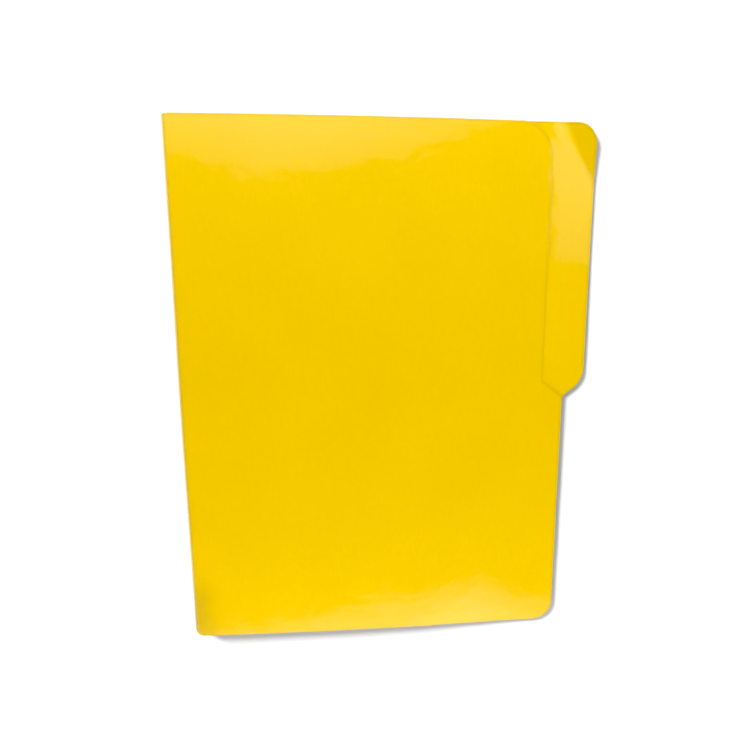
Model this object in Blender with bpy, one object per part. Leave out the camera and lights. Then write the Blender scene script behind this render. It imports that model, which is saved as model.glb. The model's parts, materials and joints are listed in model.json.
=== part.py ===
"""A closed card file folder with a half-cut tab, lying flat on its back leaf.

The folder is one die-cut sheet. Parallel scores divide it into a back leaf with the tab,
narrow spine strips that make the rounded fold, and an undercut front leaf. Each panel is
drawn flat with its first score on its own Y axis, and hangs on the panel before it, so
turning a panel about Y bends the card at that score.

X runs from the fold to the tab, Y up the page and Z up. The origin is under the middle of
the folder. Lengths are in metres.
"""

import math

import bmesh
import bpy

# Card
CARD_THICKNESS = 0.0003
SCORE_GAP = 0.0003

# Leaves
LEAF_HEIGHT = 0.29845
LEAF_WIDTH = 0.2230
BOTTOM_CORNER_RADIUS = 0.0120
FREE_EDGE_GAP = 0.0019

# Tab of the back leaf
TAB_DEPTH = 0.0127
TAB_LENGTH = 0.1490
TAB_CORNER_RADIUS = 0.0115
TAB_RAMP_ANGLE = math.radians(53)
TAB_RAMP_OUTER_RADIUS = 0.0150
TAB_RAMP_INNER_RADIUS = 0.0055

# Undercut of the front leaf
UNDERCUT_DEPTH = 0.0121
UNDERCUT_LENGTH = 0.1486
UNDERCUT_CORNER_RADIUS = 0.0185
UNDERCUT_RAMP_ANGLE = math.radians(53)
UNDERCUT_RAMP_RADIUS = 0.0015

# Spine
STRIP_COUNT = 3
STRIP_WIDTH = 0.0024

# Finish
CARD_COLOUR = (0.885, 0.568, 0.002, 1.0)
CARD_ROUGHNESS = 0.10

# Fineness of the curves
CORNER_STEPS = 8
LEAF_STEPS = 16

# The card turns half a circle in the fold, in equal bends at the scores.
SCORE_BEND = math.pi / (STRIP_COUNT + 1)
HALF_BEND = SCORE_BEND / 2
HALF_CARD = CARD_THICKNESS / 2

# A panel's edge stands this far back from its score, which leaves SCORE_GAP between the
# inner corners of two panels while the fold is closed.
SET_BACK = (SCORE_GAP / 2 + HALF_CARD * math.sin(HALF_BEND)) / math.cos(HALF_BEND)


def strip_direction(index):
    """Angle of a spine strip above +X, counted from 1 at the back leaf."""
    return math.pi - index * SCORE_BEND


STRIPS = range(1, STRIP_COUNT + 1)
FOLD_HEIGHT = STRIP_WIDTH * sum(math.sin(strip_direction(index)) for index in STRIPS)
FOLD_REACH = max(
    -STRIP_WIDTH * sum(math.cos(strip_direction(index)) for index in range(1, last + 1))
    for last in STRIPS
)

OVERALL_WIDTH = LEAF_WIDTH + TAB_DEPTH
BACK_SCORE_X = -OVERALL_WIDTH / 2 + HALF_CARD + FOLD_REACH
LEAF_SPAN = LEAF_WIDTH - HALF_CARD - FOLD_REACH

# The front leaf leaves the fold level with the table and curves down in one arc.
LEAF_DROP = FOLD_HEIGHT - CARD_THICKNESS - FREE_EDGE_GAP
LEAF_TURN = 2 * math.atan2(LEAF_DROP, LEAF_SPAN)
LEAF_CURVE_RADIUS = LEAF_SPAN / math.sin(LEAF_TURN)
FRONT_LEAF_LENGTH = LEAF_CURVE_RADIUS * LEAF_TURN


def clear_scene():
    for old in list(bpy.data.objects):
        bpy.data.objects.remove(old, do_unlink=True)


def card_material(name):
    material = bpy.data.materials.new(name)
    material.use_nodes = True
    shader = material.node_tree.nodes["Principled BSDF"]
    shader.inputs["Base Color"].default_value = CARD_COLOUR
    shader.inputs["Roughness"].default_value = CARD_ROUGHNESS
    shader.inputs["Metallic"].default_value = 0.0
    return material


def round_corner(before, corner, after, radius):
    """Points of the arc that rounds a corner of an outline."""
    if radius <= 0:
        return [corner]
    heading_in = math.atan2(corner[1] - before[1], corner[0] - before[0])
    heading_out = math.atan2(after[1] - corner[1], after[0] - corner[0])
    turn = (heading_out - heading_in + math.pi) % (2 * math.pi) - math.pi
    side = math.copysign(math.pi / 2, turn)
    tangent = radius * math.tan(abs(turn) / 2)
    start_x = corner[0] - tangent * math.cos(heading_in)
    start_y = corner[1] - tangent * math.sin(heading_in)
    centre_x = start_x + radius * math.cos(heading_in + side)
    centre_y = start_y + radius * math.sin(heading_in + side)
    points = []
    for step in range(CORNER_STEPS + 1):
        heading = heading_in + turn * step / CORNER_STEPS
        x = centre_x - radius * math.cos(heading + side)
        y = centre_y - radius * math.sin(heading + side)
        points.append((x, y))
    return points


def rounded_outline(corners):
    """A closed outline from corners given as (x, y, radius), in anticlockwise order."""
    points = []
    for index, (x, y, radius) in enumerate(corners):
        before = corners[index - 1]
        after = corners[(index + 1) % len(corners)]
        points += round_corner(before, (x, y), after, radius)
    return points


def ramp_run(depth, angle):
    """How far a ramp of this depth runs along the leaf's edge."""
    return depth / math.tan(angle)


def back_leaf_outline():
    top = LEAF_HEIGHT / 2
    tab_edge = LEAF_SPAN + TAB_DEPTH
    half_run = ramp_run(TAB_DEPTH, TAB_RAMP_ANGLE) / 2
    ramp_middle = top - TAB_LENGTH
    return rounded_outline([
        (SET_BACK, -top, 0),
        (LEAF_SPAN, -top, BOTTOM_CORNER_RADIUS),
        (LEAF_SPAN, ramp_middle - half_run, TAB_RAMP_INNER_RADIUS),
        (tab_edge, ramp_middle + half_run, TAB_RAMP_OUTER_RADIUS),
        (tab_edge, top, TAB_CORNER_RADIUS),
        (SET_BACK, top, 0),
    ])


def front_leaf_outline():
    top = LEAF_HEIGHT / 2
    undercut_edge = FRONT_LEAF_LENGTH - UNDERCUT_DEPTH
    half_run = ramp_run(UNDERCUT_DEPTH, UNDERCUT_RAMP_ANGLE) / 2
    ramp_middle = top - UNDERCUT_LENGTH
    return rounded_outline([
        (SET_BACK, -top, 0),
        (FRONT_LEAF_LENGTH, -top, BOTTOM_CORNER_RADIUS),
        (FRONT_LEAF_LENGTH, ramp_middle - half_run, UNDERCUT_RAMP_RADIUS),
        (undercut_edge, ramp_middle + half_run, UNDERCUT_RAMP_RADIUS),
        (undercut_edge, top, UNDERCUT_CORNER_RADIUS),
        (SET_BACK, top, 0),
    ])


def strip_outline():
    top = LEAF_HEIGHT / 2
    far_edge = STRIP_WIDTH - SET_BACK
    return [(SET_BACK, -top), (far_edge, -top), (far_edge, top), (SET_BACK, top)]


def flat_sheet(outline):
    """A bmesh with one face, in the XY plane and facing up."""
    sheet = bmesh.new()
    sheet.faces.new([sheet.verts.new((x, y, 0.0)) for x, y in outline])
    return sheet


def curve_down(sheet):
    """Rolls a flat sheet down along the front leaf's arc, in straight facets."""
    facet = FRONT_LEAF_LENGTH / LEAF_STEPS
    for step in range(1, LEAF_STEPS):
        everything = sheet.verts[:] + sheet.edges[:] + sheet.faces[:]
        line = (facet * step, 0.0, 0.0)
        bmesh.ops.bisect_plane(sheet, geom=everything, dist=1e-7, plane_co=line, plane_no=(1, 0, 0))

    def on_arc(step):
        turn = LEAF_TURN * step / LEAF_STEPS
        return LEAF_CURVE_RADIUS * math.sin(turn), LEAF_CURVE_RADIUS * (math.cos(turn) - 1)

    for vertex in sheet.verts:
        step = min(int(vertex.co.x / facet + 1e-4), LEAF_STEPS - 1)
        share = vertex.co.x / facet - step
        near = on_arc(step)
        far = on_arc(step + 1)
        vertex.co.x = near[0] + (far[0] - near[0]) * share
        vertex.co.z = near[1] + (far[1] - near[1]) * share


def add_panel(name, sheet, parent, score_x, turn):
    """Makes a panel of the card whose origin lies on its first score.

    score_x is where that score lies in the parent panel, and turn is the panel's angle
    about Y from its parent.
    """
    mesh = bpy.data.meshes.new(name)
    sheet.to_mesh(mesh)
    sheet.free()
    mesh.materials.append(card_material(name + "_card"))
    panel = bpy.data.objects.new(name, mesh)
    bpy.context.scene.collection.objects.link(panel)
    panel.parent = parent
    panel.location = (score_x, 0.0, 0.0)
    panel.rotation_euler = (0.0, turn, 0.0)
    thickness = panel.modifiers.new("card", "SOLIDIFY")
    thickness.thickness = CARD_THICKNESS
    thickness.offset = 0.0
    thickness.use_even_offset = True
    return panel


def add_back_leaf():
    leaf = add_panel("back_leaf", flat_sheet(back_leaf_outline()), None, BACK_SCORE_X, 0.0)
    leaf.location.z = HALF_CARD
    return leaf


def add_spine(back_leaf):
    """The strips between the scores, from the back leaf up and over."""
    panel = back_leaf
    for index in STRIPS:
        first = index == 1
        score_x = 0.0 if first else STRIP_WIDTH
        turn = SCORE_BEND - math.pi if first else SCORE_BEND
        panel = add_panel(f"spine_strip_{index}", flat_sheet(strip_outline()), panel, score_x, turn)
    return panel


def add_front_leaf(last_strip):
    sheet = flat_sheet(front_leaf_outline())
    curve_down(sheet)
    return add_panel("front_leaf", sheet, last_strip, STRIP_WIDTH, SCORE_BEND)


def build():
    clear_scene()
    back_leaf = add_back_leaf()
    last_strip = add_spine(back_leaf)
    add_front_leaf(last_strip)


build()
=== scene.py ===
"""Looks of a closed file folder of glossy yellow card, lying on a pale floor.

The folder is one die-cut sheet. Here it is a back leaf, a front leaf and four creases, one
at each score, which share their borders, so that the card runs on unbroken round the
fold. X runs from the fold to the tab, Y up the page and Z up. Lengths are in metres.
"""

import functools
import json
import math

import bmesh
import bpy
import numpy as np
from mathutils import Matrix, Vector, noise


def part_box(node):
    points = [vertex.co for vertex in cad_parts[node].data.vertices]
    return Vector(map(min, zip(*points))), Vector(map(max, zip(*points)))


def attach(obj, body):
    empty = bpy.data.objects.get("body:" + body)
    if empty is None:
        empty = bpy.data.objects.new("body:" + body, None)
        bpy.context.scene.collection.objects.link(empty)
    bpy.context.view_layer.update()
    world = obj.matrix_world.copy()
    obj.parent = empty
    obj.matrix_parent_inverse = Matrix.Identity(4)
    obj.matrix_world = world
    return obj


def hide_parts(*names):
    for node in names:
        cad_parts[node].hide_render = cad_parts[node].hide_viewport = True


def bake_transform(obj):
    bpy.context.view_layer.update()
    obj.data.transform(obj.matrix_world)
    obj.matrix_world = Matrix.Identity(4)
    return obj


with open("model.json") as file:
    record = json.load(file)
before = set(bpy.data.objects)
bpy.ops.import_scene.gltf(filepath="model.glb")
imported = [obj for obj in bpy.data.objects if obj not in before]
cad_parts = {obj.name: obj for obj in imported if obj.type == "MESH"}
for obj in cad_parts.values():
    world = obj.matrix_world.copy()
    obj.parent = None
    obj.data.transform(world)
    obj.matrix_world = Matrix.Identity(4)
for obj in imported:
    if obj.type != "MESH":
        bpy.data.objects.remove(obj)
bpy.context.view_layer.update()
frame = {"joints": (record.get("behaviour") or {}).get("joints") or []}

# Places that the frame gives
SCORES = [Vector(joint["pos_m"]) for joint in frame["joints"]]
BACK_LOW, BACK_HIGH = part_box("back_leaf")
_, FRONT_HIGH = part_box("front_leaf")
CARD = BACK_HIGH.z - BACK_LOW.z
HALF_CARD = CARD / 2
TOP = BACK_HIGH.y
BOTTOM = BACK_LOW.y
TAB_EDGE = BACK_HIGH.x
FREE_EDGE = FRONT_HIGH.x
HALF_STRIP = (SCORES[1] - SCORES[0]).length / 2
SCORE_BEND = math.pi / len(SCORES)
FOLD_LENGTH = 2 * HALF_STRIP * (len(SCORES) - 1)
BACK_SEAM = SCORES[0].x + HALF_STRIP
FRONT_SEAM = SCORES[-1].x + HALF_STRIP

# Outlines of the leaves
BOTTOM_CORNER_RADIUS = 0.0120
TAB_LENGTH = 0.1490
TAB_TRIM = 0.0003
TAB_CORNER_RADIUS = 0.0115
TAB_RAMP_ANGLE = math.radians(53)
TAB_RAMP_OUTER_RADIUS = 0.0150
TAB_RAMP_INNER_RADIUS = 0.0055
UNDERCUT_DEPTH = 0.0121
UNDERCUT_LENGTH = 0.1486
UNDERCUT_CORNER_RADIUS = 0.0185
UNDERCUT_RAMP_ANGLE = math.radians(53)
UNDERCUT_RAMP_RADIUS = 0.0015

# How the front leaf lies
FREE_EDGE_HEIGHT = 0.0015
DROP_SKEW = 1.9
UPTURN_START = 0.0720
UPTURN_RADIUS = 1.95

# How the back leaf lies
BACK_LIFT = 0.0012
BACK_LIFT_START = 0.0100
BACK_LIFT_END = 0.0850
TAB_FALL_START = 0.0800
TAB_FALL_SPAN = 0.0120
TAB_LEVELS_START = 0.0930
TAB_LEVELS_SPAN = 0.0170
TAB_LEVELS_SHARE = 0.85
TAB_LOW_SLOPE = 0.010
TAB_TOP_SLOPE = 0.035
TAB_SLOPE_END = 0.1400

# The line along which the tab's top corner is bent up
CURL_START = Vector((0.1030, 0.1490))
CURL_END = Vector((0.1180, 0.1175))
CURL_RUN = (CURL_END - CURL_START).normalized()
CURL_ACROSS = Vector((-CURL_RUN.y, CURL_RUN.x))
CURL_SLOPE = math.tan(math.radians(6))
CURL_SOFTNESS = 0.0008
CURL_STRAIGHT_RATIO = 20

# How the fold lies
SPINE_BULGE = 0.00045
SPINE_BULGE_MIDDLE = -0.0150
SPINE_BULGE_HALF_LENGTH = 0.1100
SPINE_BULGE_REACH = 0.0400
BOTTOM_CRUSH_RADIUS = 0.0035
TOP_CRUSH_RADIUS = 0.0008
CRUSH_REACH = 0.0150

# Slight waves of the card, and the layers of noise that they come from
WAVE_FADE = 0.0120
LONG_WAVE = 0.00013
LONG_WAVE_LENGTH = 0.0270
SHORT_WAVE = 0.00003
SHORT_WAVE_LENGTH = 0.0100
SHORT_WAVE_SHIFT = 5.5
BACK_WAVE_LAYER = 1.3
FRONT_WAVE_LAYER = 8.1

# Die-cut edges
SHOULDER_WIDTH = 0.0003
SHOULDER_DROP = 0.00002
BURR_DROP = 0.00002

# Fineness of the meshes
EDGE_RINGS = (0.0001, 0.0003, 0.0007)
END_ROWS = (0.0011, 0.0016, 0.0022, 0.0027)
CORNER_STEPS = 16
CREASE_STEPS = 14
GRID_STEP = 0.0032
SEAM_MARGIN = 0.0030
SLOPE_PROBE = 1e-5
CUT_TOLERANCE = 1e-7
MERGE_DISTANCE = 1e-6

# Where the card is worn and given painted shade along the scores, and made darker towards the
# fold's bottom end
FOLD_WEAR_AND_SHADE_REACH = 0.0011
FOLD_WEAR_AND_SHADE_PEAK = 1.2
FOLD_END_REACH = 0.0550
FOLD_END_WIDTH = 0.0180

# Colours of the card
CARD_COLOUR = (0.885, 0.568, 0.0)
WORN_COLOUR = (0.95, 0.66, 0.03)
CORE_COLOUR = (0.86, 0.72, 0.36)

# Patterns in the coating, each as its size and detail
CLOUDS = (0.0500, 2)
SMUDGES = (0.0160, 4)
MOTTLE = (0.0035, 3)
RIPPLES = (0.0090, 1.4)
PEEL = (0.0012, 2)
GRAIN = (0.0004, 2)
FIBRES = (0.0007, 3)
CRACKS = (0.0004, 3)
RIM_UNEVENNESS = (0.0030, 3)
SIDE_SPREAD = (1, 1, 400.0)
FIBRE_STRETCH = (1, 0.07, 1)
CRACK_STRETCH = (1, 0.15, 1)

# Ranges: the whole of a share, most of a noise, its middle, and where smudges and cracks show
WHOLE = (0.0, 1.0)
MOST_NOISE = (0.3, 0.7)
MIDDLE_NOISE = (0.35, 0.65)
SMUDGE_NOISE = (0.50, 0.70)
CRACK_NOISE = (0.55, 0.68)

# Lightness of the coating
CLOUD_LEVELS = (0.985, 1.015)
MOTTLE_LEVELS = (0.990, 1.010)
FIBRE_LEVELS = (0.990, 1.010)
GRAIN_LEVELS = (0.985, 1.015)
INNER_LEVEL = 1.025
# Painted shade: the card is darkened along the scores, standing in for the shade on the rounded
# fold
FOLD_PAINTED_SHADE_LEVEL = 0.78
# The card is made darker and rougher, unevenly, towards the fold's bottom end
FOLD_END_LEVEL = 0.74
FOLD_END_UNEVENNESS = (0.65, 1.30)
# Painted shade: the coating is darkened towards every cut edge, standing in for the contact shadow
# along the outline
PAINTED_EDGE_SHADE = 0.88
PAINTED_EDGE_SHADE_WIDTH = 0.0020
# Painted shade: the tab's bent-up corner is darkened, as if turned away from the light
PAINTED_CORNER_SHADE = 0.85
PAINTED_CORNER_SHADE_PLACE = (-0.0036, -0.0002)
RIM_WIDTH = (0.0001, 0.0005)
RIM_FADE = (0.6, 1.1)
RIM_WEAR = 0.3
FLAKING_WEAR = 0.55

# Gloss and relief of the coating
COATING_ROUGHNESS = 0.05
MOTTLE_ROUGHNESS = (0.040, 0.065)
SMUDGE_ROUGHNESS = 0.045
FOLD_WEAR_ROUGHNESS = 0.26
FOLD_END_ROUGHNESS = 0.12
RIM_ROUGHNESS = 0.05
MICROMETRE = 1e-6
RIPPLE_HEIGHT = 110.0
PEEL_HEIGHT = 1.2
GRAIN_HEIGHT = 0.4
FIBRE_HEIGHT = 0.8
FLAKING_HEIGHT = -6.0

# Board of the cut edges
CORE_LAYERS = (0.0002, 4)
CORE_LAYER_STRETCH = (0.3, 0.3, 3)
CORE_FIBRES = (0.0005, 3)
CORE_LAYER_LEVELS = (0.86, 1.08)
CORE_FIBRE_LEVELS = (0.92, 1.06)
COATING_DEPTH = (0.72, 0.88)
BOARD_ROUGHNESS = 0.8
BOARD_ROUGHNESS_RANGE = (0.70, 0.90)
BOARD_RELIEF = 2e-5

# Camera
FOCAL_PIXELS = 440.0
IMAGE_PIXELS = 750.0
SENSOR_WIDTH = 36.0
CLIP_START = 0.01
CAMERA_PLACE = Vector((-0.01795, 0.0453, 0.2552))
CAMERA_LOOK = Vector((0.0445, -0.1380, -0.9894))
CAMERA_RIGHT = Vector((0.9989, -0.0065, 0.0458))

# Floor: grey near the folder, and paler between these distances from it
FLOOR_WIDTH = 12.0
FLOOR_ROUGHNESS = 0.8
FLOOR_SHADE = 0.42
FAR_FLOOR_SHADE = 0.78
FLOOR_PALES = (0.35, 1.10)

# World: pale walls up to a height, and dark overhead
WALL_TO_CEILING = (0.60, 0.74)
WALL_AND_CEILING_LEVELS = (1.0, 0.0)

# Lamp that lights only the floor
SUN_DIRECTION = (-2.0, 1.65, 1.0)
SUN_LEVEL = 1.54
SUN_ANGLE = 17

# Softboxes: two corners, the borders of their light, and for the light that they shed and for
# their mirror image the depth, near level and far level of wedge_radiance
LIGHT_OVER_SHINE = 0.003
SOFTBOXES = (
    {
        "name": "top_softbox",
        "height": 0.32,
        "low": (-0.8, 0.20),
        "high": (0.8, 0.80),
        "borders": (
            ((-0.2374, 0.2360), (-0.1339, 0.2125)),
            ((-0.1339, 0.2125), (-0.0617, 0.2131)),
            ((-0.0617, 0.2131), (0.1049, 0.2469)),
            ((0.1049, 0.2469), (0.1898, 0.2805)),
        ),
        "light": (0.15, 0.65, 2.6),
        "shine": (0.05, 0.38, 1.4),
    },
    {
        "name": "bottom_softbox",
        "height": 0.32,
        "low": (-0.8, -0.90),
        "high": (0.8, -0.32),
        "borders": (
            ((0.190, -0.3305), (-0.190, -0.3805)),
            ((0.250, -0.3645), (0.190, -0.3305)),
            ((-0.190, -0.3805), (-0.450, -0.470)),
        ),
        "light": (0.14, 0.25, 6.2),
        "shine": (0.065, 0.20, 2.5),
    },
    {
        "name": "tab_softbox",
        "height": 0.31,
        "low": (0.23, 0.10),
        "high": (0.48, 0.36),
        "borders": (
            ((0.23, 0.114), (0.45, 0.114)),
            ((0.2505, 0.40), (0.2505, 0.10)),
        ),
        "light": (0.11, 0.55, 1.3),
        "shine": (0.11, 0.57, 1.35),
        "blur": 0.006,
        "rise_from_first": True,
    },
)


def smooth(share):
    """Rises from 0 to 1 with level ends."""
    share = min(1.0, max(0.0, share))
    return share * share * (3 - 2 * share)


def round_corner(before, corner, after, radius):
    """Points of the arc that rounds a corner of an outline."""
    if radius <= 0:
        return [corner]
    heading_in = math.atan2(corner[1] - before[1], corner[0] - before[0])
    heading_out = math.atan2(after[1] - corner[1], after[0] - corner[0])
    turn = (heading_out - heading_in + math.pi) % (2 * math.pi) - math.pi
    side = math.copysign(math.pi / 2, turn)
    tangent = radius * math.tan(abs(turn) / 2)
    start_x = corner[0] - tangent * math.cos(heading_in)
    start_y = corner[1] - tangent * math.sin(heading_in)
    centre_x = start_x + radius * math.cos(heading_in + side)
    centre_y = start_y + radius * math.sin(heading_in + side)
    points = []
    for step in range(CORNER_STEPS + 1):
        heading = heading_in + turn * step / CORNER_STEPS
        x = centre_x - radius * math.cos(heading + side)
        y = centre_y - radius * math.sin(heading + side)
        points.append((x, y))
    return points


def rounded_outline(corners):
    """A closed outline from corners given as (x, y, radius), in anticlockwise order."""
    points = []
    for index, (x, y, radius) in enumerate(corners):
        before = corners[index - 1]
        after = corners[(index + 1) % len(corners)]
        points += round_corner(before, (x, y), after, radius)
    return points


def back_leaf_outline():
    tab_edge = TAB_EDGE - TAB_TRIM
    half_run = (TAB_EDGE - FREE_EDGE) / math.tan(TAB_RAMP_ANGLE) / 2
    ramp_middle = TOP - TAB_LENGTH
    margin = BACK_SEAM - SEAM_MARGIN
    return rounded_outline([
        (margin, BOTTOM, 0),
        (FREE_EDGE, BOTTOM, BOTTOM_CORNER_RADIUS),
        (FREE_EDGE, ramp_middle - half_run, TAB_RAMP_INNER_RADIUS),
        (tab_edge, ramp_middle + half_run, TAB_RAMP_OUTER_RADIUS),
        (tab_edge, TOP, TAB_CORNER_RADIUS),
        (margin, TOP, 0),
    ])


def front_leaf_outline():
    undercut_edge = FREE_EDGE - UNDERCUT_DEPTH
    half_run = UNDERCUT_DEPTH / math.tan(UNDERCUT_RAMP_ANGLE) / 2
    ramp_middle = TOP - UNDERCUT_LENGTH
    margin = FRONT_SEAM - SEAM_MARGIN
    return rounded_outline([
        (margin, BOTTOM, 0),
        (FREE_EDGE, BOTTOM, BOTTOM_CORNER_RADIUS),
        (FREE_EDGE, ramp_middle - half_run, UNDERCUT_RAMP_RADIUS),
        (undercut_edge, ramp_middle + half_run, UNDERCUT_RAMP_RADIUS),
        (undercut_edge, TOP, UNDERCUT_CORNER_RADIUS),
        (margin, TOP, 0),
    ])


def waviness(x, y, layer):
    """Height of the card's slight unevenness, none at the fold."""
    fade = smooth((x - BACK_SEAM) / WAVE_FADE)
    long_place = Vector((x / LONG_WAVE_LENGTH, y / LONG_WAVE_LENGTH, layer))
    short_place = Vector((x / SHORT_WAVE_LENGTH, y / SHORT_WAVE_LENGTH, layer + SHORT_WAVE_SHIFT))
    return fade * (LONG_WAVE * noise.noise(long_place) + SHORT_WAVE * noise.noise(short_place))


def tab_curl(x, y):
    """Height of the tab's top corner, bent up along a slanting line."""
    beyond = (Vector((x, y)) - CURL_START).dot(CURL_ACROSS)
    ratio = beyond / CURL_SOFTNESS
    if ratio < -CURL_STRAIGHT_RATIO:
        return 0.0
    if ratio > CURL_STRAIGHT_RATIO:
        return CURL_SLOPE * beyond
    return CURL_SLOPE * CURL_SOFTNESS * math.log1p(math.exp(ratio))


def bent_drop(beyond, span):
    """Drop of a surface whose slope grows from 0 to 1 within a span, and then stays."""
    if beyond <= 0:
        return 0.0
    if beyond < span:
        return beyond * beyond / (2 * span)
    return beyond - span / 2


def tab_fall(x, y):
    """How far the tab bends down at its root, more so at its top, and nearly levels out again."""
    towards_top = smooth(y / TAB_SLOPE_END)
    slope = TAB_LOW_SLOPE + (TAB_TOP_SLOPE - TAB_LOW_SLOPE) * towards_top
    levelled = TAB_LEVELS_SHARE * bent_drop(x - TAB_LEVELS_START, TAB_LEVELS_SPAN)
    return slope * (bent_drop(x - TAB_FALL_START, TAB_FALL_SPAN) - levelled)


def back_leaf_height(x, y):
    """Height of the back leaf's middle: flat on the floor, a little raised at the right."""
    lift = BACK_LIFT * smooth((x - BACK_LIFT_START) / (BACK_LIFT_END - BACK_LIFT_START))
    most_wave = (LONG_WAVE + SHORT_WAVE) * smooth((x - BACK_SEAM) / WAVE_FADE) / 2
    waves = max(0.0, waviness(x, y, BACK_WAVE_LAYER) + most_wave)
    return HALF_CARD + lift - tab_fall(x, y) + tab_curl(x, y) + waves


def front_leaf_height(x, y):
    """Height of the front leaf's middle: level at the fold, turned up at the free edge."""
    share = (x - SCORES[-1].x) / (FREE_EDGE - SCORES[-1].x)
    drop = smooth(max(0.0, share) ** DROP_SKEW)
    fold_height = SCORES[-1].z
    upturn = max(0.0, x - UPTURN_START) ** 2 / (2 * UPTURN_RADIUS)
    waves = waviness(x, y, FRONT_WAVE_LAYER)
    return fold_height + (FREE_EDGE_HEIGHT - fold_height) * drop + upturn + waves


def crush(end_distance, radius):
    """How far a crushed end of the fold is pushed in, along a quarter circle."""
    if end_distance >= radius:
        return 0.0
    return radius - math.sqrt(radius**2 - (radius - end_distance) ** 2)


def fold_shift(x, y):
    """Shift along X of the card near the fold: out where the spine bulges, in at its ends."""
    along = smooth(1 - abs(y - SPINE_BULGE_MIDDLE) / SPINE_BULGE_HALF_LENGTH)
    bulge = SPINE_BULGE * along * (1 - smooth((x - BACK_SEAM) / SPINE_BULGE_REACH))
    pushed = crush(y - BOTTOM, BOTTOM_CRUSH_RADIUS) + crush(TOP - y, TOP_CRUSH_RADIUS)
    return pushed * (1 - smooth((x - BACK_SEAM) / CRUSH_REACH)) - bulge


def fold_wear_and_shade(along):
    """How worn the coating is along the scores, and how much painted shade it gets there, this far
    along the sheet from the first one.

    FOLD_WEAR_AND_SHADE_PEAK is over 1, so that the full share has some width.
    """
    gap = min(abs(along - index * 2 * HALF_STRIP) for index in range(len(SCORES)))
    return smooth(FOLD_WEAR_AND_SHADE_PEAK - gap / FOLD_WEAR_AND_SHADE_REACH)


def near_fold_end(along, y):
    """How much darker and rougher the card is made, towards the fold's bottom end."""
    beyond = max(0.0, -along, along - FOLD_LENGTH)
    return smooth(1 - (y - BOTTOM) / FOLD_END_REACH) * smooth(1 - beyond / FOLD_END_WIDTH)


def distance_to_outline(point, outline):
    """Distance from a point to a closed outline, both flat numpy arrays."""
    start = outline
    step = np.roll(outline, -1, axis=0) - start
    offset = point - start
    share = np.clip((offset * step).sum(1) / (step * step).sum(1), 0, 1)
    gap = offset - step * share[:, None]
    return float(np.sqrt((gap * gap).sum(1)).min())


def edge_profile(distance):
    """Heights of the card's two faces over its middle surface, this far from a cut edge."""
    near = max(0.0, 1 - distance / SHOULDER_WIDTH) ** 2
    return HALF_CARD - SHOULDER_DROP * near, -HALF_CARD + BURR_DROP * near


def cut_lines(low, high, step):
    """Evenly spaced places strictly between low and high, about step apart."""
    count = max(1, round((high - low) / step))
    return [low + (high - low) * index / count for index in range(1, count)]


def grid_rows():
    """Places along Y of a mesh's rows, closer together near both ends of the fold."""
    rows = cut_lines(BOTTOM, TOP, GRID_STEP)
    rows += [BOTTOM + row for row in END_ROWS]
    rows += [TOP - row for row in END_ROWS]
    return sorted(rows)


def cut_flat(sheet, point, normal, clear=False):
    bmesh.ops.bisect_plane(
        sheet,
        geom=sheet.verts[:] + sheet.edges[:] + sheet.faces[:],
        dist=CUT_TOLERANCE,
        plane_co=point,
        plane_no=normal,
        clear_inner=clear,
    )


def ringed_sheet(outline, seam, right):
    """A flat bmesh of an outline, with rings along its edges and a grid inside them."""
    sheet = bmesh.new()
    face = sheet.faces.new([sheet.verts.new((x, y, 0.0)) for x, y in outline])
    done = 0.0
    for ring in EDGE_RINGS:
        bmesh.ops.inset_region(sheet, faces=[face], thickness=ring - done, use_even_offset=True)
        done = ring
    for y in grid_rows():
        cut_flat(sheet, (0, y, 0), (0, 1, 0))
    for x in cut_lines(seam, right, GRID_STEP):
        cut_flat(sheet, (x, 0, 0), (1, 0, 0))
    cut_flat(sheet, (seam, 0, 0), (1, 0, 0), clear=True)
    bmesh.ops.remove_doubles(sheet, verts=sheet.verts, dist=MERGE_DISTANCE)
    return sheet


def border_edges(polygons):
    """Edges that only one polygon has, each as two corners in that polygon's direction."""
    edges = {}
    for polygon in polygons:
        for first, second in zip(polygon, polygon[1:] + polygon[:1]):
            if (second, first) in edges:
                del edges[(second, first)]
            else:
                edges[(first, second)] = True
    return list(edges)


def add_attributes(mesh, places, upper_depth):
    """Tells the materials where each point lies on the sheet, how worn and painted-shaded it is
    along the scores, and how near the fold's bottom end it is.
    """
    on_sheet = []
    for depth in (upper_depth, CARD - upper_depth):
        for along, y, _ in places:
            on_sheet += [along, y, depth]
    mesh.attributes.new("sheet_place", "FLOAT_VECTOR", "POINT").data.foreach_set("vector", on_sheet)
    numbers = {
        "edge_distance": [edge for _, _, edge in places],
        "fold_wear_and_shade": [fold_wear_and_shade(along) for along, _, _ in places],
        "near_fold_end": [near_fold_end(along, y) for along, y, _ in places],
    }
    for name, values in numbers.items():
        mesh.attributes.new(name, "FLOAT", "POINT").data.foreach_set("value", values * 2)


def mark_walls_sharp(mesh, first_wall):
    """Keeps the shading of the card's faces apart from that of its cut edges."""
    work = bmesh.new()
    work.from_mesh(mesh)
    work.faces.ensure_lookup_table()
    for face in work.faces[first_wall:]:
        for edge in face.edges:
            if any(other.index < first_wall for other in edge.link_faces):
                edge.smooth = False
    work.to_mesh(mesh)
    work.free()


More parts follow.
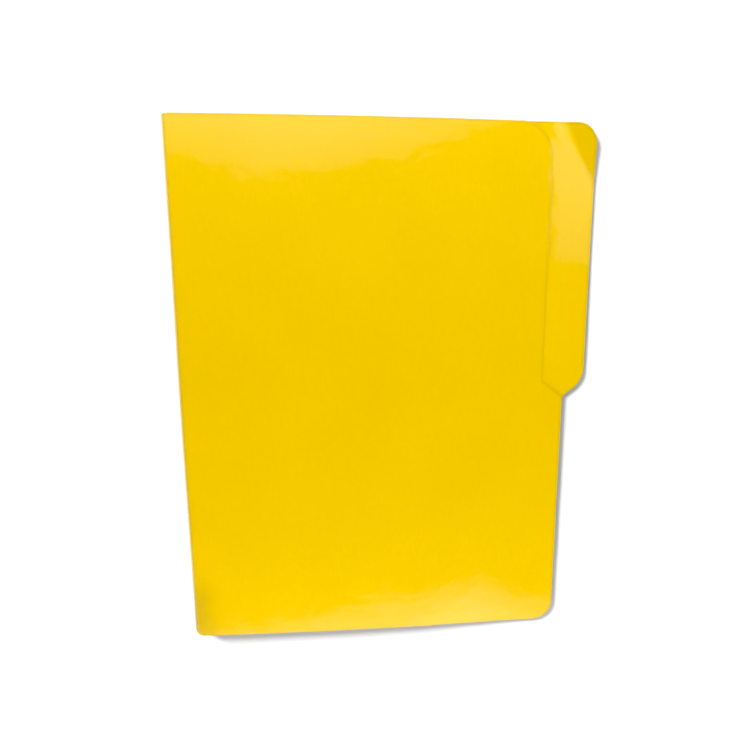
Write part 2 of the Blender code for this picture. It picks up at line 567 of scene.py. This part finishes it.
def solid_from_faces(name, upper, lower, faces, places, upper_depth):
    """A closed card piece from matching points of its two faces.

    faces lists the upper face's polygons. places gives each point's distance along the
    sheet from the first score, its Y and its distance from a cut edge. upper_depth is how
    deep in the card the upper points lie, counted from the folder's outer face.
    """
    count = len(upper)
    polygons = faces + [[index + count for index in reversed(polygon)] for polygon in faces]
    walls = [
        [second, first, first + count, second + count] for first, second in border_edges(faces)
    ]
    mesh = bpy.data.meshes.new(name)
    mesh.from_pydata([tuple(point) for point in upper + lower], [], polygons + walls)
    mesh.materials.append(card_face_material())
    mesh.materials.append(card_core_material())
    for index, polygon in enumerate(mesh.polygons):
        polygon.use_smooth = True
        polygon.material_index = 1 if index >= len(polygons) else 0
    add_attributes(mesh, places, upper_depth)
    mark_walls_sharp(mesh, len(polygons))
    mesh.validate()
    piece = bpy.data.objects.new(name, mesh)
    bpy.context.scene.collection.objects.link(piece)
    return piece


def leaf_piece(name, outline, seam, right, height, sheet_start, sheet_sign):
    """A leaf of card: height gives its middle surface.

    A point's distance along the sheet is sheet_start plus sheet_sign times how far it lies
    right of the score.
    """
    sheet = ringed_sheet(outline, seam, right)
    sheet.verts.index_update()
    border = np.array(outline)
    places = []
    upper = []
    lower = []
    for vertex in sheet.verts:
        x, y = vertex.co.x, vertex.co.y
        distance = distance_to_outline(np.array((x, y)), border)
        rise_x = height(x + SLOPE_PROBE, y) - height(x - SLOPE_PROBE, y)
        rise_y = height(x, y + SLOPE_PROBE) - height(x, y - SLOPE_PROBE)
        slope_x = rise_x / (2 * SLOPE_PROBE)
        slope_y = rise_y / (2 * SLOPE_PROBE)
        normal = Vector((-slope_x, -slope_y, 1)).normalized()
        middle = Vector((x + fold_shift(x, y), y, height(x, y)))
        above, below = edge_profile(distance)
        places.append((sheet_start + sheet_sign * (x - SCORES[0].x), y, distance))
        upper.append(middle + normal * above)
        lower.append(middle + normal * below)
    faces = []
    for face in sheet.faces:
        polygon = [vertex.index for vertex in face.verts]
        faces.append(polygon if face.normal.z > 0 else polygon[::-1])
    sheet.free()
    upper_depth = 0.0 if sheet_sign > 0 else CARD
    return solid_from_faces(name, upper, lower, faces, places, upper_depth)


def crease_curve(score):
    """Places and headings of the card's middle along one crease, from the back leaf's side.

    The heading turns by one score's bend, slowly at both ends. The curve starts and ends
    half a strip from the score, on the straight lines that meet there.
    """
    heading_in = math.pi - score * SCORE_BEND
    mean_heading = heading_in - SCORE_BEND / 2
    turns = [smooth(step / CREASE_STEPS) for step in range(CREASE_STEPS + 1)]
    headings = [heading_in - SCORE_BEND * turn for turn in turns]
    middles = [(first + second) / 2 for first, second in zip(headings, headings[1:])]
    chord = 2 * HALF_STRIP * math.cos(SCORE_BEND / 2)
    length = chord / (sum(math.cos(middle - mean_heading) for middle in middles) / CREASE_STEPS)
    x = SCORES[score].x - HALF_STRIP * math.cos(heading_in)
    z = SCORES[score].z - HALF_STRIP * math.sin(heading_in)
    places = [(x, z)]
    for middle in middles:
        x += length / CREASE_STEPS * math.cos(middle)
        z += length / CREASE_STEPS * math.sin(middle)
        places.append((x, z))
    return places, headings


def crease_rows():
    """The rows of a crease along Y, with the same edge rings and grid as the leaves."""
    rings = [0.0, *EDGE_RINGS]
    low = [BOTTOM + ring for ring in rings]
    high = [TOP - ring for ring in rings]
    inner = [y for y in grid_rows() if low[-1] < y < high[-1]]
    return low + inner + high[::-1]


def crease_piece(score):
    """The card bent at one score, and the curve of its middle."""
    curve, headings = crease_curve(score)
    rows = crease_rows()
    upper = []
    lower = []
    places = []
    for y in rows:
        distance = min(y - BOTTOM, TOP - y)
        above, below = edge_profile(distance)
        for step, ((x, z), heading) in enumerate(zip(curve, headings)):
            outward = Vector((-math.sin(heading), 0.0, math.cos(heading)))
            middle = Vector((x + fold_shift(x, y), y, z))
            upper.append(middle + outward * above)
            lower.append(middle + outward * below)
            along = 2 * HALF_STRIP * score + HALF_STRIP * (2 * step / CREASE_STEPS - 1)
            places.append((along, y, distance))
    across = len(curve)
    faces = []
    for row in range(len(rows) - 1):
        for column in range(across - 1):
            corner = row * across + column
            faces.append([corner, corner + 1, corner + across + 1, corner + across])
    piece = solid_from_faces(f"fold_crease_{score + 1}", upper, lower, faces, places, 0.0)
    return piece, curve


def plain_shader(name, colour, roughness):
    material = bpy.data.materials.new(name)
    material.use_nodes = True
    shader = material.node_tree.nodes["Principled BSDF"]
    shader.inputs["Base Color"].default_value = (*colour, 1)
    shader.inputs["Roughness"].default_value = roughness
    return material


def connect(tree, socket, value):
    """Links a socket to a node's output, or sets it to a plain value."""
    if isinstance(value, bpy.types.NodeSocket):
        tree.links.new(value, socket)
    else:
        socket.default_value = value


def calculate(tree, operation, first, second):
    node = tree.nodes.new("ShaderNodeMath")
    node.operation = operation
    connect(tree, node.inputs[0], first)
    connect(tree, node.inputs[1], second)
    return node.outputs[0]


def add_up(tree, values):
    total = values[0]
    for value in values[1:]:
        total = calculate(tree, "ADD", total, value)
    return total


def multiply(tree, values):
    product = values[0]
    for value in values[1:]:
        product = calculate(tree, "MULTIPLY", product, value)
    return product


def remap(tree, value, source, target, kind="LINEAR"):
    """Turns the range source into the range target, and holds the ends."""
    node = tree.nodes.new("ShaderNodeMapRange")
    node.interpolation_type = kind
    connect(tree, node.inputs["Value"], value)
    node.inputs["From Min"].default_value = source[0]
    node.inputs["From Max"].default_value = source[1]
    node.inputs["To Min"].default_value = target[0]
    node.inputs["To Max"].default_value = target[1]
    return node.outputs["Result"]


def stretch(tree, place, factors):
    node = tree.nodes.new("ShaderNodeVectorMath")
    node.operation = "MULTIPLY"
    connect(tree, node.inputs[0], place)
    node.inputs[1].default_value = factors
    return node.outputs["Vector"]


def project(tree, place, direction):
    """How far a place lies in a direction from the origin."""
    node = tree.nodes.new("ShaderNodeVectorMath")
    node.operation = "DOT_PRODUCT"
    connect(tree, node.inputs[0], place)
    node.inputs[1].default_value = direction
    return node.outputs["Value"]


def coordinate(tree, vector, axis):
    node = tree.nodes.new("ShaderNodeSeparateXYZ")
    connect(tree, node.inputs[0], vector)
    return node.outputs[axis]


def pattern(tree, place, size, detail):
    """A noise of about this size in metres, mostly between 0.3 and 0.7."""
    node = tree.nodes.new("ShaderNodeTexNoise")
    connect(tree, node.inputs["Vector"], place)
    node.inputs["Scale"].default_value = 1 / size
    node.inputs["Detail"].default_value = detail
    return node.outputs[0]


def mix_colours(tree, share, first, second):
    node = tree.nodes.new("ShaderNodeMix")
    node.data_type = "RGBA"
    first_colour, second_colour = (socket for socket in node.inputs if socket.type == "RGBA")
    connect(tree, node.inputs["Factor"], share)
    connect(tree, first_colour, first)
    connect(tree, second_colour, second)
    return node.outputs[2]


def brighten(tree, colour, level):
    node = tree.nodes.new("ShaderNodeVectorMath")
    node.operation = "SCALE"
    connect(tree, node.inputs[0], colour)
    connect(tree, node.inputs["Scale"], level)
    return node.outputs["Vector"]


def bend_normals(tree, height, distance):
    """Gives a shader relief: height is in units of distance."""
    node = tree.nodes.new("ShaderNodeBump")
    node.inputs["Distance"].default_value = distance
    connect(tree, node.inputs["Height"], height)
    connect(tree, tree.nodes["Principled BSDF"].inputs["Normal"], node.outputs["Normal"])


def read_attribute(tree, name, output):
    node = tree.nodes.new("ShaderNodeAttribute")
    node.attribute_name = name
    return node.outputs[output]


def beyond_curl(tree, sheet_place):
    """How far a place on the sheet lies beyond the line that bends the tab's corner."""
    across = project(tree, sheet_place, (-CURL_ACROSS.x, CURL_ACROSS.y, 0.0))
    at_line = CURL_ACROSS.dot(CURL_START) - CURL_ACROSS.x * SCORES[0].x
    return calculate(tree, "SUBTRACT", across, at_line)


@functools.cache
def card_face_material():
    """Glossy yellow coating: clouds and mottle in its colour, uneven gloss, ripples, worn rims and
    cracks, a darker fold end, and painted shade along the scores, along the cut edges and on the
    tab's bent-up corner.
    """
    material = plain_shader("coated_card", CARD_COLOUR, COATING_ROUGHNESS)
    tree = material.node_tree
    shader = tree.nodes["Principled BSDF"]
    sheet_place = read_attribute(tree, "sheet_place", "Vector")
    place = stretch(tree, sheet_place, SIDE_SPREAD)
    inner = remap(tree, coordinate(tree, sheet_place, "Z"), (0.0, CARD), WHOLE)
    wear_and_shade = read_attribute(tree, "fold_wear_and_shade", "Fac")
    edge_distance = read_attribute(tree, "edge_distance", "Fac")

    clouds = pattern(tree, place, *CLOUDS)
    smudges = pattern(tree, place, *SMUDGES)
    mottle = pattern(tree, place, *MOTTLE)
    ripples = pattern(tree, place, *RIPPLES)
    peel = pattern(tree, place, *PEEL)
    grain = pattern(tree, place, *GRAIN)
    fibres = pattern(tree, stretch(tree, place, FIBRE_STRETCH), *FIBRES)
    rim_unevenness = pattern(tree, place, *RIM_UNEVENNESS)
    cracks = pattern(tree, stretch(tree, place, CRACK_STRETCH), *CRACKS)

    rim_width = remap(tree, rim_unevenness, MIDDLE_NOISE, RIM_WIDTH)
    rim_share = calculate(tree, "DIVIDE", edge_distance, rim_width)
    rim = remap(tree, rim_share, RIM_FADE, (1.0, 0.0), "SMOOTHSTEP")
    split_lines = remap(tree, cracks, CRACK_NOISE, WHOLE, "SMOOTHSTEP")
    flaking = multiply(tree, [wear_and_shade, split_lines])
    fold_end_share = multiply(tree, [
        read_attribute(tree, "near_fold_end", "Fac"),
        remap(tree, smudges, MIDDLE_NOISE, FOLD_END_UNEVENNESS),
    ])
    # painted shade on the tab's bent-up corner
    bent = remap(tree, beyond_curl(tree, sheet_place), PAINTED_CORNER_SHADE_PLACE, WHOLE, "SMOOTHSTEP")

    level = multiply(tree, [
        remap(tree, clouds, MOST_NOISE, CLOUD_LEVELS),
        remap(tree, mottle, MOST_NOISE, MOTTLE_LEVELS),
        remap(tree, fibres, MOST_NOISE, FIBRE_LEVELS),
        remap(tree, grain, MOST_NOISE, GRAIN_LEVELS),
        remap(tree, inner, WHOLE, (1.0, INNER_LEVEL)),
        # painted shade along the scores
        remap(tree, wear_and_shade, WHOLE, (1.0, FOLD_PAINTED_SHADE_LEVEL)),
        remap(tree, fold_end_share, WHOLE, (1.0, FOLD_END_LEVEL)),
        # painted shade towards the cut edges
        remap(tree, edge_distance, (0.0, PAINTED_EDGE_SHADE_WIDTH), (PAINTED_EDGE_SHADE, 1.0), "SMOOTHSTEP"),
        remap(tree, bent, WHOLE, (1.0, PAINTED_CORNER_SHADE)),
    ])
    colour = brighten(tree, CARD_COLOUR, level)
    rim_wear = multiply(tree, [rim, RIM_WEAR])
    flaking_wear = multiply(tree, [flaking, FLAKING_WEAR])
    worn = calculate(tree, "MAXIMUM", rim_wear, flaking_wear)
    connect(tree, shader.inputs["Base Color"], mix_colours(tree, worn, colour, (*WORN_COLOUR, 1)))

    roughness = add_up(tree, [
        remap(tree, mottle, MOST_NOISE, MOTTLE_ROUGHNESS),
        remap(tree, smudges, SMUDGE_NOISE, (0.0, SMUDGE_ROUGHNESS), "SMOOTHSTEP"),
        remap(tree, wear_and_shade, WHOLE, (0.0, FOLD_WEAR_ROUGHNESS)),
        remap(tree, fold_end_share, WHOLE, (0.0, FOLD_END_ROUGHNESS)),
        remap(tree, rim, WHOLE, (0.0, RIM_ROUGHNESS)),
    ])
    connect(tree, shader.inputs["Roughness"], roughness)

    relief = add_up(tree, [
        multiply(tree, [ripples, RIPPLE_HEIGHT]),
        multiply(tree, [peel, PEEL_HEIGHT]),
        multiply(tree, [grain, GRAIN_HEIGHT]),
        multiply(tree, [fibres, FIBRE_HEIGHT]),
        multiply(tree, [flaking, FLAKING_HEIGHT]),
    ])
    bend_normals(tree, relief, MICROMETRE)
    return material


@functools.cache
def card_core_material():
    """The cut edge: pale board with fibres in layers, between two thin yellow coatings."""
    material = plain_shader("card_core", CORE_COLOUR, BOARD_ROUGHNESS)
    tree = material.node_tree
    shader = tree.nodes["Principled BSDF"]
    place = read_attribute(tree, "sheet_place", "Vector")
    depth = remap(tree, coordinate(tree, place, "Z"), (0.0, CARD), (-1.0, 1.0))
    off_middle = calculate(tree, "ABSOLUTE", depth, 0.0)
    layers = pattern(tree, stretch(tree, place, CORE_LAYER_STRETCH), *CORE_LAYERS)
    fibres = pattern(tree, place, *CORE_FIBRES)
    level = multiply(tree, [
        remap(tree, layers, MOST_NOISE, CORE_LAYER_LEVELS),
        remap(tree, fibres, MOST_NOISE, CORE_FIBRE_LEVELS),
    ])
    board = brighten(tree, CORE_COLOUR, level)
    coating = remap(tree, off_middle, COATING_DEPTH, WHOLE, "SMOOTHSTEP")
    colour = mix_colours(tree, coating, board, (*CARD_COLOUR, 1))
    roughness = remap(tree, fibres, MOST_NOISE, BOARD_ROUGHNESS_RANGE)
    connect(tree, shader.inputs["Base Color"], colour)
    connect(tree, shader.inputs["Roughness"], roughness)
    bend_normals(tree, layers, BOARD_RELIEF)
    return material


def add_folder():
    back = leaf_piece(
        name="back_leaf_card",
        outline=back_leaf_outline(),
        seam=BACK_SEAM,
        right=TAB_EDGE,
        height=back_leaf_height,
        sheet_start=0.0,
        sheet_sign=-1,
    )
    front = leaf_piece(
        name="front_leaf_card",
        outline=front_leaf_outline(),
        seam=FRONT_SEAM,
        right=FREE_EDGE,
        height=front_leaf_height,
        sheet_start=FOLD_LENGTH,
        sheet_sign=1,
    )
    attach(back, "back_leaf")
    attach(front, "front_leaf")
    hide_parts("back_leaf")
    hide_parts("front_leaf")
    for score, joint in enumerate(frame["joints"]):
        piece, curve = crease_piece(score)
        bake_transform(piece)
        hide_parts(f"spine_strip_{min(score + 1, len(SCORES) - 1)}")


def floor_material():
    """Matt grey under the folder, paler further off where less of the lamps' light falls."""
    material = plain_shader("floor", (FLOOR_SHADE,) * 3, FLOOR_ROUGHNESS)
    tree = material.node_tree
    place = tree.nodes.new("ShaderNodeNewGeometry").outputs["Position"]
    length = tree.nodes.new("ShaderNodeVectorMath")
    length.operation = "LENGTH"
    connect(tree, length.inputs[0], place)
    shades = (FLOOR_SHADE, FAR_FLOOR_SHADE)
    shade = remap(tree, length.outputs["Value"], FLOOR_PALES, shades, "SMOOTHSTEP")
    connect(tree, tree.nodes["Principled BSDF"].inputs["Base Color"], shade)
    return material


def add_floor():
    mesh = bpy.data.meshes.new("floor")
    half = FLOOR_WIDTH / 2
    corners = [(-half, -half, 0), (half, -half, 0), (half, half, 0), (-half, half, 0)]
    mesh.from_pydata(corners, [], [(0, 1, 2, 3)])
    mesh.materials.append(floor_material())
    floor = bpy.data.objects.new("floor", mesh)
    bpy.context.scene.collection.objects.link(floor)
    return floor


def wedge_radiance(lamp_data, borders, depth, near, far, blur, rise_from_first):
    """Shapes a lamp's light: none outside its borders, and from near to far this deep inside.

    Each border is two points (x, y) on the lamp's plane, with the light on its left. The
    depth is counted from the nearest border, or from the first one alone.
    """
    lamp_data.use_nodes = True
    tree = lamp_data.node_tree
    place = tree.nodes.new("ShaderNodeNewGeometry").outputs["Position"]
    distances = []
    for start, end in borders:
        run = (Vector(end) - Vector(start)).normalized()
        normal = Vector((-run.y, run.x, 0.0))
        offset = normal.dot(Vector((*start, 0.0)))
        distances.append(calculate(tree, "SUBTRACT", project(tree, place, normal), offset))
    inside = distances[0]
    for distance in distances[1:]:
        inside = calculate(tree, "MINIMUM", inside, distance)
    mask = remap(tree, inside, (-blur, blur), WHOLE, "SMOOTHSTEP")
    counted = distances[0] if rise_from_first else inside
    level = remap(tree, counted, (0.0, depth), (near, far))
    strength = calculate(tree, "MULTIPLY", mask, level)
    connect(tree, tree.nodes["Emission"].inputs["Strength"], strength)


def add_softbox(
    name, height, low, high, borders, light, shine, blur=0.004, rise_from_first=False
):
    """A level softbox, as a lamp for the light that it sheds and one for its mirror image.

    light and shine each give the depth, the near level and the far level of wedge_radiance.
    """
    parts = (
        (name + "_light", height + LIGHT_OVER_SHINE, light, False),
        (name + "_shine", height, shine, True),
    )
    for part_name, part_height, levels, mirrored in parts:
        data = bpy.data.lights.new(part_name, "AREA")
        data.shape = "RECTANGLE"
        data.size = high[0] - low[0]
        data.size_y = high[1] - low[1]
        data.energy = data.size * data.size_y * math.pi
        wedge_radiance(data, borders, *levels, blur, rise_from_first)
        lamp = bpy.data.objects.new(part_name, data)
        lamp.location = ((low[0] + high[0]) / 2, (low[1] + high[1]) / 2, part_height)
        lamp.visible_camera = False
        lamp.visible_diffuse = not mirrored
        lamp.visible_glossy = mirrored
        bpy.context.scene.collection.objects.link(lamp)


def add_floor_sun(floor):
    """A soft sun on the floor alone, so that the folder's shadow stays under a white floor.

    Its level is how white it makes a level white surface.
    """
    data = bpy.data.lights.new("floor_sun", "SUN")
    towards = Vector(SUN_DIRECTION).normalized()
    data.energy = SUN_LEVEL * math.pi / towards.z
    data.angle = math.radians(SUN_ANGLE)
    sun = bpy.data.objects.new("floor_sun", data)
    sun.location = towards
    sun.rotation_euler = towards.to_track_quat("Z", "Y").to_euler()
    bpy.context.scene.collection.objects.link(sun)
    receivers = bpy.data.collections.new("lit_by_floor_sun")
    receivers.objects.link(floor)
    sun.light_linking.receiver_collection = receivers


def add_world():
    """Pale near the horizon, as studio walls are, and dark overhead."""
    world = bpy.data.worlds.new("studio")
    bpy.context.scene.world = world
    world.use_nodes = True
    tree = world.node_tree
    direction = tree.nodes.new("ShaderNodeTexCoord").outputs["Generated"]
    height = coordinate(tree, direction, "Z")
    level = remap(tree, height, WALL_TO_CEILING, WALL_AND_CEILING_LEVELS, "SMOOTHSTEP")
    background = tree.nodes["Background"]
    background.inputs["Color"].default_value = (1, 1, 1, 1)
    connect(tree, background.inputs["Strength"], level)


def add_camera():
    data = bpy.data.cameras.new("camera")
    data.sensor_width = SENSOR_WIDTH
    data.lens = SENSOR_WIDTH * FOCAL_PIXELS / IMAGE_PIXELS
    data.clip_start = CLIP_START
    camera = bpy.data.objects.new("camera", data)
    back = -CAMERA_LOOK.normalized()
    right = (CAMERA_RIGHT - back * CAMERA_RIGHT.dot(back)).normalized()
    up = back.cross(right)
    turn = Matrix((right, up, back)).transposed()
    camera.matrix_world = Matrix.Translation(CAMERA_PLACE) @ turn.to_4x4()
    bpy.context.scene.collection.objects.link(camera)
    bpy.context.scene.camera = camera


add_folder()
floor = add_floor()
for softbox in SOFTBOXES:
    add_softbox(**softbox)
add_floor_sun(floor)
add_world()
add_camera()
bpy.context.scene.view_settings.view_transform = "Standard"
